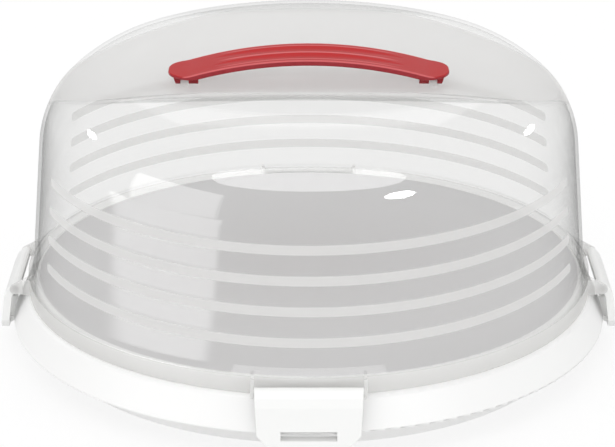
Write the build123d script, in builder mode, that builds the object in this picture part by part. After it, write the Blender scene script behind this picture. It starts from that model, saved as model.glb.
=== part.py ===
from build123d import *
from math import atan2, cos, radians, sin, sqrt, tan
import os

# Round cake carrier: a clear dome stands on a white tray and four swing clips hold it down.
# A strap handle is pinned in the valley that runs across the top of the dome.
# Millimetres, +Z up, origin on the table under the middle of the tray, front clip towards -Y.

# Tray: a raised cake floor on a foot ring, a step down to the dome's seat and a skirt outside it
floor_height = 40.0
floor_radius = 153.0
floor_edge_round = 2.5
tray_wall = 2.0
step_depth = 8.0
step_draft = 1.2
seat_width = 4.8
seat_edge_round = 3.0
skirt_flare = 7.5
rim_height = 15.4
rim_bead = 1.2
foot_draft = 7.4
foot_round = 0.6
floor_rib_count = 12
floor_rib_width = 1.6
floor_rib_depth = 6.0
hub_ring_radius = 40.0

# Dome: collar, tapered wall, round shoulder and a nearly flat crown
dome_wall = 1.8
dome_rise = 128.6
seat_gap = 0.2
collar_fit = 1.4
collar_rise = 2.4
collar_step = 2.9
collar_slope = 2.6
wall_taper = 4.9
shoulder_radius = 52.0
crown_radius = 1400.0

# Valley across the crown, along X: a round trough whose floor arches down towards its ends
valley_depth = 22.0
valley_radius = 157.0
valley_arch = 3000.0
valley_round = 5.0

# Handle: a ribbed strap with two legs at each end, straddling a lug of the dome
handle_length = 153.6
handle_width = 33.6
handle_corner = 14.0
handle_edge_round = 0.7
pad_rise = 5.3
pad_length = 7.4
pad_thickness = 1.8
strap_rise = 9.6
strap_thickness = 3.0
strap_blend = 20.0
groove_offset = 6.6
groove_width = 10.6
groove_depth = 0.9
groove_runout = 12.0
lug_width = 3.9
lug_round = 2.9
lug_foot_width = 6.8
leg_setback = 4.0
leg_gap = 0.35
leg_floor_gap = 0.5
outer_leg_width = 2.4
outer_leg_flare = 2.2
inner_leg_width = 5.2
leg_round = 3.2
pip_radius = 1.2
pip_clearance = 0.2
pip_tip_gap = 0.2

# Clips: a bar between two ears of the dome carries each clip's snap-on barrel
hinge_standoff = 5.6
hinge_rise = 4.2
bar_radius = 1.7
barrel_clearance = 0.2
barrel_wall = 0.9
barrel_mouth = 2.6
ear_thickness = 1.6
ear_end_gap = 0.3
ear_root_drop = 3.4
ear_root_rise = 1.0
clip_width = 54.8
clip_draft = 1.2
clip_wall = 1.8
clip_edge_wall = 1.6
clip_depth = 4.4
clip_shoulder_angle = 45.0
clip_shoulder_out = 4.6
clip_shoulder_drop = 0.66
clip_knee_out = 6.7
clip_knee_drop = 5.6
clip_toe_out = 6.1
clip_corner = 6.0
clip_bend_round = 3.0
clip_corner_round = 1.5
clip_face_round = 0.5
catch_width = 28.4
catch_height = 3.8
catch_gap = 0.4
catch_clearance = 0.3
window_height = 4.8

# Where the pieces meet: every place below follows from the sizes above
seat_height = floor_height - step_depth
seat_inner_radius = floor_radius + step_draft
seat_radius = seat_inner_radius + seat_width
rim_radius = seat_radius + skirt_flare
foot_radius = seat_inner_radius - foot_draft

collar_bottom = seat_height + seat_gap
collar_inner = seat_inner_radius + collar_fit
collar_radius = collar_inner + dome_wall
collar_top = floor_height + collar_rise
wall_foot_radius = collar_radius - collar_step
wall_foot_height = collar_top + collar_slope
crown_height = floor_height + dome_rise
valley_floor = crown_height - valley_depth

handle_end = handle_length / 2
leg_outer = handle_end - leg_setback - outer_leg_width
lug_centre = leg_outer - leg_gap - lug_width / 2
leg_inner = lug_centre - lug_width / 2 - leg_gap - inner_leg_width
valley_drop = valley_arch - sqrt(valley_arch**2 - leg_inner**2)
pivot_height = valley_floor - valley_drop + leg_floor_gap + leg_round
pad_height = pivot_height + pad_rise
strap_height = pad_height + strap_rise

hinge_radius = collar_radius + hinge_standoff
hinge_height = seat_height + hinge_rise
clip_shoulder = (hinge_radius + clip_shoulder_out, hinge_height - clip_shoulder_drop)
clip_knee = (hinge_radius + clip_knee_out, hinge_height - clip_knee_drop)
catch_top = rim_height - rim_bead - catch_gap
clip_toe = (rim_radius + clip_toe_out, catch_top - catch_height)
half_clip = clip_width / 2
ear_middle = half_clip + ear_end_gap + ear_thickness / 2
barrel_bore = bar_radius + barrel_clearance
barrel_radius = barrel_bore + barrel_wall

os.makedirs("parts", exist_ok=True)


def write(part, name):
    part.label = name
    export_step(part, f"parts/{name}.step")


# The tray
skirt_fall = seat_height - rim_height
skirt_run = rim_radius - rim_bead - seat_radius
skirt_slope = atan2(skirt_fall, skirt_run)
bead_out = rim_bead * sin(skirt_slope)
bead_up = rim_bead * cos(skirt_slope)
rim_centre = rim_radius - rim_bead
foot_lean = (seat_inner_radius - foot_radius) / seat_height
seat_under = seat_height - tray_wall

with BuildPart() as base_tray:
    with BuildSketch(Plane.XZ) as tray_section:
        with BuildLine():
            Polyline(
                (0, floor_height),
                (floor_radius, floor_height),
                (seat_inner_radius, seat_height),
                (seat_radius, seat_height),
                (rim_centre + bead_out, rim_height + bead_up),
                (rim_centre - bead_out, rim_height - bead_up),
                (seat_radius - tray_wall * tan(skirt_slope / 2), seat_under),
                (foot_radius + foot_lean * seat_under, seat_under),
                (foot_radius, 0),
                (foot_radius - tray_wall, 0),
                (seat_inner_radius - tray_wall, seat_height),
                (floor_radius - tray_wall, floor_height - tray_wall),
                (0, floor_height - tray_wall),
                close=True,
            )
        make_face()
        with Locations((rim_centre, rim_height)):
            Circle(rim_bead)
        for radius, height, rounding in (
            (floor_radius, floor_height, floor_edge_round),
            (seat_radius, seat_height, seat_edge_round),
            (foot_radius, 0, foot_round),
        ):
            fillet(tray_section.vertices().sort_by_distance((radius, height))[0], rounding)
    revolve(axis=Axis.Z)
    # Stiffening ribs under the floor: a hub ring and spokes that run into the step's wall
    rib_reach = (floor_radius + seat_inner_radius - tray_wall) / 2 - hub_ring_radius
    with BuildSketch(Plane.XY.offset(floor_height - tray_wall)):
        with PolarLocations(hub_ring_radius + rib_reach / 2, floor_rib_count):
            Rectangle(rib_reach, floor_rib_width)
        Circle(hub_ring_radius + floor_rib_width)
        Circle(hub_ring_radius, mode=Mode.SUBTRACT)
    extrude(amount=-floor_rib_depth)

write(base_tray.part, "base_tray")


# The dome
def dome_outline(inset):
    # Points of the dome's outline moved inwards by inset: wall foot, wall top, shoulder top, crown.
    # The shoulder's centre lies one shoulder radius inside the wall and inside the crown's arc.
    lean = radians(wall_taper)
    foot = wall_foot_radius - inset / cos(lean)
    shoulder = shoulder_radius - inset
    crown = crown_radius - inset
    crown_centre = crown_height - crown_radius
    start_radius = foot - shoulder * cos(lean)
    start_height = wall_foot_height - shoulder * sin(lean) - crown_centre
    along = start_height * cos(lean) - start_radius * sin(lean)
    reach = crown - shoulder
    rise = sqrt(along**2 - start_radius**2 - start_height**2 + reach**2) - along
    wall_top = (foot - rise * sin(lean), wall_foot_height + rise * cos(lean))
    centre_radius = start_radius - rise * sin(lean)
    centre_height = start_height + rise * cos(lean)
    shoulder_top = (centre_radius * crown / reach, crown_centre + centre_height * crown / reach)
    return (foot, wall_foot_height), wall_top, shoulder_top, (0, crown_height - inset)


def dome_section(inset, collar, bottom):
    # Half section of the dome's outer form, or of the space inside it when inset by the wall
    foot, wall_top, shoulder_top, crown_top = dome_outline(inset)
    collar_lean = atan2(collar_step, collar_slope)
    collar_shoulder = collar_top - inset * tan(collar_lean / 2)
    with BuildSketch(Plane.XZ) as section:
        with BuildLine():
            Polyline((0, bottom), (collar, bottom), (collar, collar_shoulder), foot, wall_top)
            shoulder = TangentArc(
                wall_top, shoulder_top, tangent=(-sin(radians(wall_taper)), cos(radians(wall_taper)))
            )
            TangentArc(shoulder @ 1, crown_top, tangent=shoulder % 1)
            Line(crown_top, (0, bottom))
        make_face()
    return section.sketch


def valley_edges(solid):
    # The ridge edges where the valley's torus meets the dome: both faces beside them are curved
    return solid.edges().filter_by(lambda edge: edge.geom_type == GeomType.BSPLINE)


def clip_plane(turn, sideways):
    # Upright plane through a clip: x runs outwards, y upwards, and it looks against its own offset
    outwards = (cos(radians(turn)), sin(radians(turn)), 0)
    across = (-outwards[1], outwards[0], 0)
    origin = (across[0] * sideways, across[1] * sideways, 0)
    return Plane(origin=origin, x_dir=outwards, z_dir=(-across[0], -across[1], 0))


def chord(radius, sideways):
    # Distance from the middle of the carrier to a circle of this radius, measured off its centre line
    return sqrt(radius**2 - sideways**2)


clip_turns = {"clip_front": -90, "clip_right": 0, "clip_rear": 90, "clip_left": 180}
valley_place = Location((0, 0, valley_floor - valley_arch), (90, 0, 0))
ear_collar_root = chord(collar_radius - dome_wall / 2, ear_middle)
ear_wall_root = chord(wall_foot_radius - dome_wall / 2, ear_middle)

with BuildPart() as hollow:
    add(dome_section(dome_wall, collar_inner, 0))
    revolve(axis=Axis.Z)
    with Locations(valley_place):
        Torus(
            valley_arch + valley_radius,
            valley_radius + dome_wall,
            mode=Mode.SUBTRACT,
        )
    fillet(valley_edges(hollow.part), valley_round - dome_wall)

with BuildPart() as dome:
    add(dome_section(0, collar_radius, collar_bottom))
    revolve(axis=Axis.Z)
    with Locations(valley_place):
        Torus(valley_arch + valley_radius, valley_radius, mode=Mode.SUBTRACT)
    fillet(valley_edges(dome.part), valley_round)
    add(hollow.part, mode=Mode.SUBTRACT)
    # Lugs that carry the handle, each bored for its pips
    lug_root = valley_floor - lug_centre**2 / (2 * valley_arch) - dome_wall / 2
    for lug_start in (lug_centre - lug_width / 2, -lug_centre - lug_width / 2):
        with BuildSketch(Plane.YZ.offset(lug_start)):
            with Locations((0, pivot_height)):
                Circle(lug_round)
            with Locations((0, lug_root)):
                Rectangle(lug_foot_width, lug_round / 2, align=(Align.CENTER, Align.MIN))
            make_hull()
            with Locations((0, pivot_height)):
                Circle(pip_radius + pip_clearance, mode=Mode.SUBTRACT)
        extrude(amount=lug_width)
    # Hinge bars for the clips, each held by two ears that grow out of the collar and the wall
    for turn in clip_turns.values():
        for ear_start in (ear_middle + ear_thickness / 2, -ear_middle + ear_thickness / 2):
            with BuildSketch(clip_plane(turn, ear_start)):
                with Locations((hinge_radius, hinge_height)):
                    Circle(barrel_radius)
                with BuildLine():
                    Polyline(
                        (ear_collar_root, hinge_height - ear_root_drop),
                        (ear_collar_root, collar_top),
                        (ear_wall_root, wall_foot_height + ear_root_rise),
                        (hinge_radius, hinge_height),
                        close=True,
                    )
                make_face()
                make_hull()
            extrude(amount=ear_thickness)
        with BuildSketch(clip_plane(turn, ear_middle)):
            with Locations((hinge_radius, hinge_height)):
                Circle(bar_radius)
        extrude(amount=2 * ear_middle)

write(dome.part, "dome")


# The handle
def strap_arcs(apex, pad, arch, blend):
    # The arch over the middle and the hollow blend into each flat pad touch at the meeting point
    arch_centre = apex - arch
    blend_height = pad + blend
    blend_centre = sqrt((arch + blend) ** 2 - (blend_height - arch_centre) ** 2)
    share = arch / (arch + blend)
    meeting = (blend_centre * share, arch_centre + (blend_height - arch_centre) * share)
    return blend_centre, meeting


strap_reach = handle_end - pad_length
strap_arch = (strap_reach**2 + strap_rise**2) / (2 * strap_rise) - strap_blend
top_blend, top_meeting = strap_arcs(strap_height, pad_height, strap_arch, strap_blend)
under_height = strap_height - strap_thickness
under_pad = pad_height - pad_thickness
under_arch = strap_arch - strap_thickness
under_blend = strap_blend + strap_thickness
low_blend, low_meeting = strap_arcs(under_height, under_pad, under_arch, under_blend)
groove_reach = top_meeting[0] - groove_runout
groove_radius = groove_width**2 / (8 * groove_depth) + groove_depth / 2
strap_drop = strap_arch - sqrt(strap_arch**2 - groove_reach**2)
groove_arch = groove_reach**2 / (2 * (strap_drop - groove_depth))
leg_top = pad_height - pad_thickness / 2
leg_bottom = pivot_height - leg_round
pip_length = (lug_width + 2 * leg_gap - pip_tip_gap) / 2

# Two shallow grooves along the top of the strap run out before the pads and leave a rib between them
with BuildPart() as grooves:
    for side in (-1, 1):
        groove_centre = strap_height - groove_depth - groove_arch
        with Locations(Location((0, side * groove_offset, groove_centre), (90, 0, 0))):
            Torus(groove_arch + groove_radius, groove_radius)
    with Locations((0, 0, strap_height)):
        Box(2 * groove_reach, handle_width, 4 * strap_drop, mode=Mode.INTERSECT)

# Legs with round toes about the pivot; the outer one of each pair widens towards the pad
with BuildPart() as legs:
    with BuildSketch(Plane.YZ):
        with Locations((0, pivot_height)):
            Circle(leg_round)
        with Locations((0, leg_top)):
            Rectangle(2 * leg_round, leg_top - pivot_height, align=(Align.CENTER, Align.MAX))
    extrude(amount=handle_end, both=True)
    with BuildSketch(Plane.XZ) as leg_fronts:
        with BuildLine():
            Polyline(
                (leg_outer, leg_bottom),
                (leg_outer + outer_leg_width, leg_bottom),
                (leg_outer + outer_leg_width + outer_leg_flare, leg_top),
                (leg_outer, leg_top),
                close=True,
            )
        make_face()
        with Locations((leg_inner, leg_bottom)):
            Rectangle(inner_leg_width, leg_top - leg_bottom, align=(Align.MIN, Align.MIN))
        mirror(about=Plane.YZ)
    extrude(amount=leg_round, both=True, mode=Mode.INTERSECT)

with BuildPart() as handle:
    with BuildSketch(Plane.XZ):
        with BuildLine():
            Line((handle_end, pad_height), (top_blend, pad_height))
            RadiusArc((top_blend, pad_height), top_meeting, strap_blend)
            ThreePointArc(top_meeting, (0, strap_height), (-top_meeting[0], top_meeting[1]))
            RadiusArc((-top_meeting[0], top_meeting[1]), (-top_blend, pad_height), strap_blend)
            Line((-top_blend, pad_height), (-handle_end, pad_height))
            Line((-handle_end, pad_height), (-handle_end, under_pad))
            Line((-handle_end, under_pad), (-low_blend, under_pad))
            RadiusArc((-low_blend, under_pad), (-low_meeting[0], low_meeting[1]), -under_blend)
            ThreePointArc((-low_meeting[0], low_meeting[1]), (0, under_height), low_meeting)
            RadiusArc(low_meeting, (low_blend, under_pad), -under_blend)
            Line((low_blend, under_pad), (handle_end, under_pad))
            Line((handle_end, under_pad), (handle_end, pad_height))
        make_face()
    extrude(amount=handle_width / 2, both=True)
    # Rounded ends in plan
    with BuildSketch(Plane.XY.offset(under_pad)):
        RectangleRounded(handle_length, handle_width, handle_corner)
    extrude(amount=strap_height - under_pad, mode=Mode.INTERSECT)
    outer_edges = handle.edges().filter_by(Axis.Z, reverse=True).filter_by(
        lambda edge: edge.center().Y**2 > (groove_offset + groove_width / 2) ** 2
        or abs(edge.center().X) > handle_end - handle_corner
    )
    fillet(outer_edges, handle_edge_round)
    add(grooves.part, mode=Mode.SUBTRACT)
    add(legs.part)
    # Pips that reach into the lug's bore from the legs on both sides of it
    for side in (-1, 1):
        for start, direction in ((leg_inner + inner_leg_width, side), (leg_outer, -side)):
            with BuildSketch(Plane.YZ.offset(side * start)):
                with Locations((0, pivot_height)):
                    Circle(pip_radius)
            extrude(amount=direction * pip_length)

write(handle.part, "handle")

# The clips: one shape, written four times round the carrier
face_lean = (clip_toe[0] - clip_knee[0]) / (clip_knee[1] - clip_toe[1])


def clip_front_outline(inset, floor):
    # Outline of the clip seen from outside: slightly tapered, with its lower corners cut off
    half = half_clip - inset
    toe = half - clip_draft
    toe_height = clip_toe[1] + floor
    Polyline(
        (-half, hinge_height + barrel_radius),
        (half, hinge_height + barrel_radius),
        (toe, toe_height + clip_corner),
        (toe - clip_corner, toe_height),
        (-toe + clip_corner, toe_height),
        (-toe, toe_height + clip_corner),
        close=True,
    )


def clip_side_outline(start, depth):
    # Outline of the clip's shell seen from the side, from start to depth behind its outer face
    angle = radians(clip_shoulder_angle)
    reach = barrel_radius - start
    Polyline(
        (hinge_radius + reach * cos(angle), hinge_height + reach * sin(angle)),
        (clip_shoulder[0] - start, clip_shoulder[1] - start * tan(angle / 2)),
        (clip_knee[0] - start, clip_knee[1]),
        (clip_toe[0] - start, clip_toe[1]),
        (clip_toe[0] - depth, clip_toe[1]),
        (clip_knee[0] - depth, clip_knee[1]),
        (hinge_radius, hinge_height),
        close=True,
    )


def on_clip_face(point):
    # Whether a point lies on the rim of the clip's outer face, at a side or at the toe
    radius = clip_knee[0] + max(clip_knee[1] - point.Z, 0) * face_lean
    at_side = abs(point.X) > half_clip - clip_corner - clip_draft
    at_toe = point.Z < clip_toe[1] + clip_corner
    return -point.Y > radius - clip_wall and (at_side or at_toe)


upright = clip_plane(-90, 0)
with BuildPart() as clip_pocket:
    with BuildSketch(upright):
        with BuildLine():
            clip_side_outline(clip_wall, 2 * clip_depth)
        make_face()
    extrude(amount=half_clip, both=True)
    with BuildSketch(Plane.XZ) as pocket_outline:
        with BuildLine():
            clip_front_outline(clip_edge_wall, clip_edge_wall)
        make_face()
    extrude(amount=2 * rim_radius, mode=Mode.INTERSECT)

with BuildPart() as clip:
    with BuildSketch(upright) as clip_side:
        with BuildLine():
            clip_side_outline(0, clip_depth)
        make_face()
        for bend in (clip_shoulder, clip_knee):
            fillet(clip_side.vertices().sort_by_distance(bend)[0], clip_bend_round)
    extrude(amount=half_clip, both=True)
    with BuildSketch(Plane.XZ) as clip_front:
        with BuildLine():
            clip_front_outline(0, 0)
        make_face()
        fillet(clip_front.vertices().group_by(Axis.Y)[:-1], clip_corner_round)
    extrude(amount=2 * rim_radius, mode=Mode.INTERSECT)
    outer_edges = clip.edges().filter_by(lambda edge: on_clip_face(edge.center()))
    fillet(outer_edges, clip_face_round)
    add(clip_pocket.part, mode=Mode.SUBTRACT)

    # Catch: a lip under the rim, shaped through the window above it
    with BuildSketch(upright):
        with BuildLine():
            Polyline(
                (clip_toe[0] - clip_wall / 2, clip_toe[1]),
                (clip_toe[0] - clip_wall / 2, catch_top),
                (rim_centre, catch_top),
                (rim_centre, clip_toe[1] + clip_edge_wall),
                (clip_toe[0] - clip_depth, clip_toe[1]),
                close=True,
            )
        make_face()
    extrude(amount=catch_width / 2, both=True)
    with BuildSketch(Plane.XY.offset(clip_toe[1])):
        Circle(rim_radius + catch_clearance)
    extrude(amount=catch_height, mode=Mode.SUBTRACT)
    with BuildSketch(Plane.XZ):
        with Locations((0, catch_top)):
            Rectangle(catch_width, window_height, align=(Align.CENTER, Align.MIN))
    extrude(amount=2 * rim_radius, mode=Mode.SUBTRACT)
    # Barrel: it snaps over the bar through a mouth that faces the dome
    with BuildSketch(upright):
        with Locations((hinge_radius, hinge_height)):
            Circle(barrel_radius)
    extrude(amount=half_clip, both=True)
    with BuildSketch(upright):
        with Locations((hinge_radius, hinge_height)):
            Circle(barrel_bore)
            Rectangle(2 * barrel_radius, barrel_mouth, align=(Align.MAX, Align.CENTER))
    extrude(amount=half_clip, both=True, mode=Mode.SUBTRACT)

for name, turn in clip_turns.items():
    with BuildPart() as placed:
        add(clip.part.rotate(Axis.Z, turn + 90))
    write(placed.part, name)
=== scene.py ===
import math

import bpy
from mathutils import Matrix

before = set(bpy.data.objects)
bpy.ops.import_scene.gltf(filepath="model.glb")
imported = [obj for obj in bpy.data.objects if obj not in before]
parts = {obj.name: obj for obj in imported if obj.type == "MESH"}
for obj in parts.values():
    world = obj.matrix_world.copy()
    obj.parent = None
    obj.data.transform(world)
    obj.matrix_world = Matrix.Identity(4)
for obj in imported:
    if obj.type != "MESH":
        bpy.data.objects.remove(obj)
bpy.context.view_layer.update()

# Cake carrier: white tray, clear dome with satin crown and bands, red handle, four milky clips.
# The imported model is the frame, in metres, with Z up and the front clip towards -Y.

bpy.ops.object.select_all(action="DESELECT")
print("frame:", len(parts), "nodes")


class Value:
    # A shader socket that takes part in Python expressions
    def __init__(self, look, socket):
        self.look = look
        self.socket = socket

    def output(self, name):
        return Value(self.look, self.socket.node.outputs[name])

    def __add__(self, other):
        return self.look.maths("ADD", self, other)

    def __radd__(self, other):
        return self.look.maths("ADD", other, self)

    def __sub__(self, other):
        return self.look.maths("SUBTRACT", self, other)

    def __rsub__(self, other):
        return self.look.maths("SUBTRACT", other, self)

    def __mul__(self, other):
        return self.look.maths("MULTIPLY", self, other)

    def __rmul__(self, other):
        return self.look.maths("MULTIPLY", other, self)

    def __truediv__(self, other):
        return self.look.maths("DIVIDE", self, other)

    def __pow__(self, other):
        return self.look.maths("POWER", self, other)

    def __abs__(self):
        return self.look.maths("ABSOLUTE", self)


class Look:
    # The node tree of a material or of the world: every node goes in through add
    def __init__(self, owner):
        owner.use_nodes = True
        self.owner = owner
        self.tree = owner.node_tree
        self.tree.nodes.clear()
        self.column = 0

    def add(self, kind, settings=None, sockets=None, output=0):
        node = self.tree.nodes.new(kind)
        node.location = (200 * self.column, -60 * (self.column % 7))
        self.column += 1
        for key, setting in (settings or {}).items():
            setattr(node, key, setting)
        for key, value in (sockets or {}).items():
            socket = node.inputs[key]
            if isinstance(value, Value):
                self.tree.links.new(value.socket, socket)
            elif isinstance(value, tuple) and socket.type == "RGBA":
                socket.default_value = (*value, 1.0)
            else:
                socket.default_value = value
        return Value(self, node.outputs[output]) if node.outputs else node

    def maths(self, operation, *values):
        return self.add("ShaderNodeMath", {"operation": operation}, dict(enumerate(values)))

    def vectors(self, operation, *values, output=0):
        return self.add("ShaderNodeVectorMath", {"operation": operation}, dict(enumerate(values)), output)

    def least(self, a, b):
        return self.maths("MINIMUM", a, b)

    def most(self, *values):
        top = values[0]
        for value in values[1:]:
            top = self.maths("MAXIMUM", top, value)
        return top

    def rise(self, value, start, width):
        # 0 up to start, 1 from start + width on, smooth between
        return self.add(
            "ShaderNodeMapRange",
            {"interpolation_type": "SMOOTHSTEP"},
            {"Value": value, "From Min": start, "From Max": start + width},
        )

    def within(self, value, end, width):
        # 1 up to end, 0 from end + width on
        return 1 - self.rise(value, end, width)

    def length(self, a, b):
        return (a * a + b * b) ** 0.5

    def blend(self, share, a, b):
        return self.add("ShaderNodeMix", {"data_type": "RGBA"}, {0: share, 6: a, 7: b}, output=2)

    def place(self):
        # The piece's own coordinates
        return self.add("ShaderNodeTexCoord", output="Object")

    def split(self, vector, letters="XYZ"):
        whole = self.add("ShaderNodeSeparateXYZ", {}, {0: vector})
        return [whole.output(letter) for letter in letters]

    def noise(self, where, scale, detail=2.0):
        return self.add("ShaderNodeTexNoise", {}, {"Vector": where, "Scale": scale, "Detail": detail})

    def bump(self, height, strength, distance, under=None):
        sockets = {"Height": height, "Strength": strength, "Distance": distance}
        if under:
            sockets["Normal"] = under
        return self.add("ShaderNodeBump", {}, sockets)

    def mix(self, share, first, second):
        return self.add("ShaderNodeMixShader", {}, {0: share, 1: first, 2: second})

    def milky(self, share, skin, tint):
        # Plastic that also lets light through: share of it shows the light from behind
        return self.mix(share, skin, self.add("ShaderNodeBsdfTranslucent", {}, {"Color": tint}))

    def finish(self, shader):
        self.add("ShaderNodeOutputMaterial", {}, {"Surface": shader})
        return self.owner


def dress(names, material):
    for name in names:
        for slot in parts[name].material_slots:
            slot.material = material
    print("dressed:", ", ".join(names))


# What all four plastics share: how they bend light, and how deep their moulded grain is
plastic = {
    "bends": 1.49,
    "grainStrength": 0.10,
    "grainDepth": 0.0002,
    "grainDetail": 1.0,
    "flowDetail": 3.0,
    "flowMiddle": 0.5,
}


# Tray: satin white, with a rougher cake floor painted grey as painted shade where it lies under the dome
trayLook = {
    "skirt": (0.95, 0.95, 0.945),
    "warm": (0.96, 0.955, 0.94),
    "warmShare": 0.05,
    "cakeFloorShade": (0.66, 0.655, 0.66),
    "floorLow": 0.0370,
    "floorRise": 0.0025,
    "floorEdge": 0.1508,
    "floorFade": 0.0010,
    "glow": 0.08,
    "roughness": 0.42,
    "floorRougher": 0.16,
    "flowRougher": 0.10,
    "grain": 1900.0,
    "flow": 14.0,
}


def trayPlastic():
    look = Look(bpy.data.materials.new("traySatin"))
    where = look.place()
    x, y, z = look.split(where)
    onFloor = look.within(look.length(x, y), trayLook["floorEdge"], trayLook["floorFade"])
    onFloor = onFloor * look.rise(z, trayLook["floorLow"], trayLook["floorRise"])
    flow = look.noise(where, trayLook["flow"], plastic["flowDetail"])
    fine = look.noise(where, trayLook["grain"], plastic["grainDetail"])
    rougher = onFloor * trayLook["floorRougher"] + (flow - plastic["flowMiddle"]) * trayLook["flowRougher"]
    # Painted shade: the cake floor under the dome gets a grey colour for the dimmer light there
    tint = look.blend(onFloor, trayLook["skirt"], trayLook["cakeFloorShade"])
    skin = look.add("ShaderNodeBsdfPrincipled", {}, {
        "Base Color": look.blend(flow * trayLook["warmShare"], tint, trayLook["warm"]),
        "Roughness": trayLook["roughness"] + rougher,
        "Normal": look.bump(fine, plastic["grainStrength"], plastic["grainDepth"]),
        "IOR": plastic["bends"],
    })
    return look.finish(look.milky((1 - onFloor) * trayLook["glow"], skin, trayLook["skirt"]))


# Dome: clear glossy wall, with satin on the outer face over the crown, the bands and the collar
domeLook = {
    "middle": (0.0, 0.0, 0.080),
    "clearTint": (0.985, 0.985, 0.983),
    "crownSatin": (0.86, 0.855, 0.845),
    "bandSatin": (0.91, 0.908, 0.90),
    "earSatin": (0.90, 0.90, 0.895),
    # Gloss, face on and at the edge, where the wall is seen along its surface
    "mirrorTint": (0.90, 0.90, 0.905),
    "edgeTint": (0.28, 0.28, 0.285),
    "grazing": (0.40, 0.40, 0.40),
    "mirror": 0.045,
    "edgeMirror": 0.43,
    "edgeFocus": 5.0,
    "crownEase": 0.65,
    "haze": 0.012,
    # How much of each zone hides what is behind it, and how much of that shows light from behind
    "crownShare": 0.66,
    "bandShare": 0.76,
    "thickShare": 0.18,
    "tipShare": 0.85,
    "collarShare": 0.60,
    "thickSatin": 0.8,
    "crownGlow": 0.62,
    "bandGlow": 0.55,
    # Surface
    "roughness": 0.035,
    "satinRougher": 0.50,
    "grain": 2600.0,
    "grainStrength": 0.12,
    "flow": 9.0,
    "flowStrength": 0.05,
    "flowDepth": 0.002,
    # Bands: heights, and how far round and how bowed they are
    "bandHeights": (0.0590, 0.0752, 0.0912, 0.1072),
    "bandHalf": 0.00245,
    "bandFade": 0.0004,
    "bandReach": 1.15,
    "bandBow": 0.0027,
    "bandRadius": 0.1530,
    # Crown: half its length and width, as an oval
    "crownLong": 0.1435,
    "crownWide": 0.0815,
    "ovalEdge": 0.985,
    "ovalFade": 0.020,
    "crownLow": 0.1300,
    "crownRise": 0.004,
    # Lugs, collar and hinge ears, with the hinge bars out at their tips
    "lugPlace": 0.0681,
    "lugWide": 0.0020,
    "lugDeep": 0.0040,
    "lugLow": 0.1464,
    "lugRise": 0.0008,
    "lugHigh": 0.1530,
    "lugFade": 0.0004,
    "collarTop": 0.0412,
    "collarFade": 0.0010,
    "collarOut": 0.1577,
    "earFade": 0.0005,
    "tipOut": 0.1606,
    "tipFade": 0.0010,
}


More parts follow.
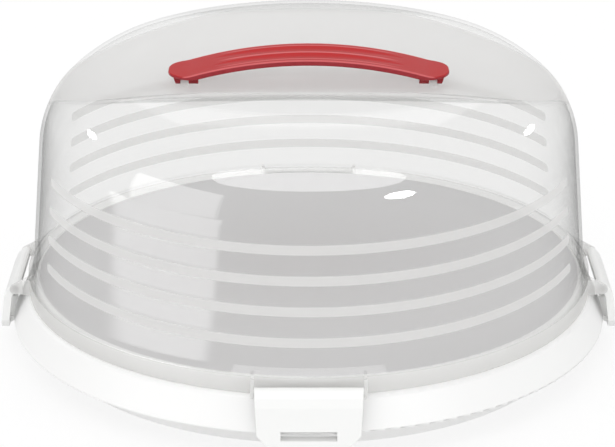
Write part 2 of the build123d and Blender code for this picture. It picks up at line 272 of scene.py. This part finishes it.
def domePlastic():
    look = Look(bpy.data.materials.new("domeClear"))
    where = look.place()
    x, y, z = look.split(where)
    radius = look.length(x, y)

    # Outer face: its normal points away from the dome's middle
    outwards = look.add("ShaderNodeTexCoord", output="Normal")
    fromMiddle = look.vectors("SUBTRACT", where, domeLook["middle"])
    # A face seen from behind has its normal turned round, so it is turned back here
    turned = 1 - 2.0 * look.add("ShaderNodeNewGeometry", output="Backfacing")
    facingOut = look.vectors("DOT_PRODUCT", outwards, fromMiddle, output="Value") * turned
    outer = look.maths("GREATER_THAN", facingOut, 0.0)

    # Bands: rounded bars round the wall, front and rear; the front ones bow up towards their ends
    turn = look.maths("ARCTAN2", abs(x), abs(y))
    past = look.most((turn - domeLook["bandReach"]) * domeLook["bandRadius"], 0.0)
    bow = turn * turn * look.maths("LESS_THAN", y, 0.0) * domeLook["bandBow"]
    away = 1.0
    for height in domeLook["bandHeights"]:
        away = look.least(look.length(past, z - bow - height), away)
    bands = look.within(away, domeLook["bandHalf"], domeLook["bandFade"]) * outer

    # Crown: the valley and its ridges
    oval = look.length(x / domeLook["crownLong"], y / domeLook["crownWide"])
    high = look.rise(z, domeLook["crownLow"], domeLook["crownRise"])
    crown = look.within(oval, domeLook["ovalEdge"], domeLook["ovalFade"]) * high * outer

    # Lugs and hinge ears are thick and rounded, so they read a little milky
    lug = look.within(abs(abs(x) - domeLook["lugPlace"]), domeLook["lugWide"], domeLook["lugFade"])
    lug = lug * look.within(abs(y), domeLook["lugDeep"], domeLook["lugFade"])
    lug = lug * look.rise(z, domeLook["lugLow"], domeLook["lugRise"])
    lug = lug * look.within(z, domeLook["lugHigh"], domeLook["lugFade"])
    thick = look.most(look.rise(radius, domeLook["collarOut"], domeLook["earFade"]), lug)
    tip = look.rise(radius, domeLook["tipOut"], domeLook["tipFade"])
    collar = look.within(z, domeLook["collarTop"], domeLook["collarFade"]) * outer

    # Gloss grows towards the edge, where the wall is seen along its surface
    edge = look.add("ShaderNodeLayerWeight", {}, {"Blend": 0.5}, output="Facing") ** domeLook["edgeFocus"]
    gloss = edge * (1 - high * domeLook["crownEase"]) * (domeLook["edgeMirror"] - domeLook["mirror"])
    gloss = domeLook["haze"] + domeLook["mirror"] + gloss
    cover = look.most(
        gloss,
        crown * domeLook["crownShare"],
        bands * domeLook["bandShare"],
        thick * domeLook["thickShare"],
        tip * domeLook["tipShare"],
        collar * domeLook["collarShare"],
    )

    satin = look.most(crown, bands, thick * domeLook["thickSatin"], collar)
    colour = look.blend(edge, domeLook["mirrorTint"], domeLook["edgeTint"])
    colour = look.blend(crown, colour, domeLook["crownSatin"])
    colour = look.blend(look.most(bands, collar), colour, domeLook["bandSatin"])
    colour = look.blend(thick, colour, domeLook["earSatin"])
    flow = look.noise(where, domeLook["flow"])
    fine = look.noise(where, domeLook["grain"], plastic["grainDetail"])
    waves = look.bump(flow, domeLook["flowStrength"], domeLook["flowDepth"])
    skin = look.add("ShaderNodeBsdfPrincipled", {}, {
        "Base Color": colour,
        "Metallic": 1 - satin,
        "Roughness": domeLook["roughness"] + satin * domeLook["satinRougher"],
        "Normal": look.bump(fine * satin, domeLook["grainStrength"], plastic["grainDepth"], waves),
        "IOR": plastic["bends"],
        "Specular Tint": domeLook["grazing"],
    })
    glow = look.most(crown * domeLook["crownGlow"], satin * domeLook["bandGlow"])
    through = look.add("ShaderNodeBsdfTransparent", {}, {"Color": domeLook["clearTint"]})
    return look.finish(look.mix(cover, through, look.milky(glow, skin, domeLook["bandSatin"])))


# Handle: red, with painted shade: a deeper red down the sides than on top
handleLook = {
    "red": (0.475, 0.004, 0.005),
    "shadedSideRed": (0.345, 0.034, 0.042),
    "topStart": 0.35,
    "topWidth": 0.60,
    "topShare": 0.85,
    "flowShare": 0.15,
    # Painted highlights: paler lines where the plastic turns
    "highlightRed": (0.70, 0.16, 0.17),
    "highlightShare": 0.75,
    "highlightStart": 0.10,
    "highlightWidth": 0.50,
    "crestHalf": 0.0005,
    "crestFade": 0.0010,
    "landLine": 0.0124,
    "landHalf": 0.0003,
    "landFade": 0.0006,
    "grooveEnd": 0.040,
    "grooveFade": 0.012,
    "rimLine": 0.0151,
    "rimFade": 0.0008,
    "shine": 0.17,
    "roughness": 0.30,
    "flowRougher": 0.12,
    "grain": 2400.0,
    "flow": 26.0,
}


def handlePlastic():
    look = Look(bpy.data.materials.new("handleRed"))
    where = look.place()
    x, y = look.split(where, "XY")
    up = look.split(look.add("ShaderNodeTexCoord", output="Normal"), "Z")[0]
    flow = look.noise(where, handleLook["flow"], plastic["flowDetail"])
    fine = look.noise(where, handleLook["grain"], plastic["grainDetail"])

    # Painted highlights along the crest between the grooves, the grooves' outer walls and the rims
    across = abs(y)
    crest = look.within(across, handleLook["crestHalf"], handleLook["crestFade"])
    land = look.within(abs(across - handleLook["landLine"]), handleLook["landHalf"], handleLook["landFade"])
    land = look.most(crest, land) * look.within(abs(x), handleLook["grooveEnd"], handleLook["grooveFade"])
    paintedHighlights = look.most(land, look.rise(across, handleLook["rimLine"], handleLook["rimFade"]))
    paintedHighlights = paintedHighlights * look.rise(up, handleLook["highlightStart"], handleLook["highlightWidth"]) * handleLook["highlightShare"]

    # Painted shade: faces that turn away from up get the deeper red, the top the plain red
    top = look.rise(up, handleLook["topStart"], handleLook["topWidth"])
    top = top * (handleLook["topShare"] + flow * handleLook["flowShare"])
    tone = look.blend(top, handleLook["shadedSideRed"], handleLook["red"])
    return look.finish(look.add("ShaderNodeBsdfPrincipled", {}, {
        # Painted highlight lines over the red
        "Base Color": look.blend(paintedHighlights, tone, handleLook["highlightRed"]),
        "Roughness": handleLook["roughness"] + (flow - plastic["flowMiddle"]) * handleLook["flowRougher"],
        "Normal": look.bump(fine, plastic["grainStrength"], plastic["grainDepth"]),
        "IOR": plastic["bends"],
        "Specular IOR Level": handleLook["shine"],
    }))


# Clips: milky polypropylene that lets some light in
clipLook = {
    "milk": (0.945, 0.95, 0.94),
    "cloud": (0.96, 0.96, 0.95),
    "cloudShare": 0.5,
    "glow": 0.08,
    "roughness": 0.30,
    "flowRougher": 0.10,
    "grain": 1700.0,
    "flow": 30.0,
}


def clipPlastic():
    look = Look(bpy.data.materials.new("clipMilky"))
    where = look.place()
    flow = look.noise(where, clipLook["flow"], plastic["flowDetail"])
    fine = look.noise(where, clipLook["grain"], plastic["grainDetail"])
    skin = look.add("ShaderNodeBsdfPrincipled", {}, {
        "Base Color": look.blend(flow * clipLook["cloudShare"], clipLook["milk"], clipLook["cloud"]),
        "Roughness": clipLook["roughness"] + (flow - plastic["flowMiddle"]) * clipLook["flowRougher"],
        "Normal": look.bump(fine, plastic["grainStrength"], plastic["grainDepth"]),
        "IOR": plastic["bends"],
    })
    return look.finish(look.milky(clipLook["glow"], skin, clipLook["cloud"]))


dress(["base_tray"], trayPlastic())
dress(["dome"], domePlastic())
dress(["handle"], handlePlastic())
dress(["clip_front", "clip_right", "clip_rear", "clip_left"], clipPlastic())


# Studio: a plain pale table and room. The camera sees them white; gloss mirrors them at a lower level
studio = {
    "table": (0.95, 0.95, 0.95),
    "speckle": (0.90, 0.90, 0.90),
    "speckleSize": 60.0,
    "speckleShare": 0.04,
    "tableSize": 8.0,
    "tableDrop": 0.0002,
    "tableGlow": 0.78,
    "tableFill": 0.55,
    "ambient": 1.03,
    "mirrored": 0.58,
    # The bright pool that the side box throws on the table, which only gloss mirrors
    "poolLevel": 1.7,
    "poolBack": -0.16,
    "poolSide": -0.055,
    "poolLean": 1.5,
    "poolFade": 0.06,
    "poolFar": 1.58,
    "poolFarFade": 0.01,
}


def lightPaths(look):
    # What the camera sees, straight or through the dome; what gloss mirrors; what lights matt faces
    rays = look.add("ShaderNodeLightPath", output="Is Camera Ray")
    seen = look.most(rays, rays.output("Is Transmission Ray"))
    return seen, rays.output("Is Glossy Ray"), rays.output("Is Diffuse Ray")


def tableTop():
    look = Look(bpy.data.materials.new("tablePale"))
    where = look.place()
    x, y = look.split(where, "XY")
    speckle = look.noise(where, studio["speckleSize"]) * studio["speckleShare"]
    pale = look.blend(speckle, studio["table"], studio["speckle"])
    matt = look.add("ShaderNodeBsdfDiffuse", {}, {"Color": pale})
    seen, gloss, lit = lightPaths(look)
    pool = look.rise(y - x * studio["poolLean"], studio["poolSide"], studio["poolFade"])
    pool = pool * look.within(look.length(x, y), studio["poolFar"], studio["poolFarFade"])
    pool = pool * look.within(y, studio["poolBack"], studio["poolFade"])
    level = 1.0 + gloss * (studio["mirrored"] - 1.0 + pool * studio["poolLevel"])
    glow = look.add("ShaderNodeEmission", {}, {"Color": level})
    share = look.most(seen * studio["tableGlow"], lit * studio["tableFill"]) + gloss
    return look.finish(look.mix(share, matt, glow))


def roomAir():
    look = Look(bpy.data.worlds.new("studioAir"))
    seen, gloss = lightPaths(look)[:2]
    level = studio["ambient"] + seen * (1.0 - studio["ambient"])
    level = level + gloss * (studio["mirrored"] - studio["ambient"])
    glow = look.add("ShaderNodeBackground", {}, {"Color": level})
    look.add("ShaderNodeOutputWorld", {}, {"Surface": glow})
    return look.owner


bpy.ops.mesh.primitive_plane_add(size=studio["tableSize"], location=(0, 0, -studio["tableDrop"]))
table = bpy.context.object
table.name = "table"
table.data.materials.append(tableTop())
bpy.ops.object.select_all(action="DESELECT")
bpy.context.scene.world = roomAir()
print("table and room ready")


# Lamps: a turn from the front and a rise above level, in degrees, and how far away from the point at
# height lampAim that they all face. Soft lamps light matt faces only, the others show in gloss only
lampAim = 0.10
lamps = {
    "keyBox": {"turn": -35, "rise": 55, "away": 1.8, "width": 1.2, "height": 1.2, "power": 3.0},
    "frontFill": {"turn": 10, "rise": 12, "away": 1.8, "width": 1.2, "height": 0.8, "power": 1.2},
    "sideBox": {"turn": -55, "rise": 9, "away": 1.6, "width": 1.16, "height": 0.72, "power": 4.2},
    "topBox": {"turn": 180, "rise": 57, "away": 1.5, "width": 1.5, "height": 0.7, "power": 2.2},
    "frontBox": {"turn": 0, "rise": 44, "away": 1.7, "width": 2.4, "height": 0.8, "power": 10.5},
    "rearLeftLamp": {"turn": -112, "rise": 21.4, "away": 1.6, "width": 0.20, "height": 0.10, "power": 1.2},
    "rearRightLamp": {"turn": 116.3, "rise": 21, "away": 1.6, "width": 0.20, "height": 0.10, "power": 1.2},
    "frontRightLamp": {"turn": 37.3, "rise": 19.7, "away": 1.6, "width": 0.32, "height": 0.18, "power": 3.0},
}
softLamps = ("keyBox", "frontFill")
roundLamps = ("frontBox", "rearLeftLamp", "rearRightLamp", "frontRightLamp")


def addLamp(name, turn, rise, away, width, height, power):
    turn, rise = math.radians(turn), math.radians(rise)
    across = away * math.cos(rise)
    spot = (across * math.sin(turn), -across * math.cos(turn), lampAim + away * math.sin(rise))
    bpy.ops.object.light_add(type="AREA", location=spot, rotation=(math.pi / 2 - rise, 0, turn))
    lamp = bpy.context.object
    lamp.name = name
    lamp.data.shape = "ELLIPSE" if name in roundLamps else "RECTANGLE"
    lamp.data.size = width
    lamp.data.size_y = height
    lamp.data.energy = power
    lamp.visible_diffuse = name in softLamps
    lamp.visible_glossy = name not in softLamps


for name, values in lamps.items():
    addLamp(name, **values)
print("lamps:", len(lamps))


# Camera: just left of the middle, looking down at the front of the carrier
cameraView = {
    "spot": (-0.0007, -1.1946, 0.5255),
    "down": 21.12,  # degrees below level
    "lens": 133.4,
    "sensor": 36.0,
}
tilt = math.radians(90 - cameraView["down"])
bpy.ops.object.camera_add(location=cameraView["spot"], rotation=(tilt, 0, 0))
camera = bpy.context.object
camera.name = "studioCamera"
camera.data.lens = cameraView["lens"]
camera.data.sensor_width = cameraView["sensor"]
bpy.context.scene.camera = camera
bpy.context.scene.view_settings.view_transform = "Standard"
print("camera ready")
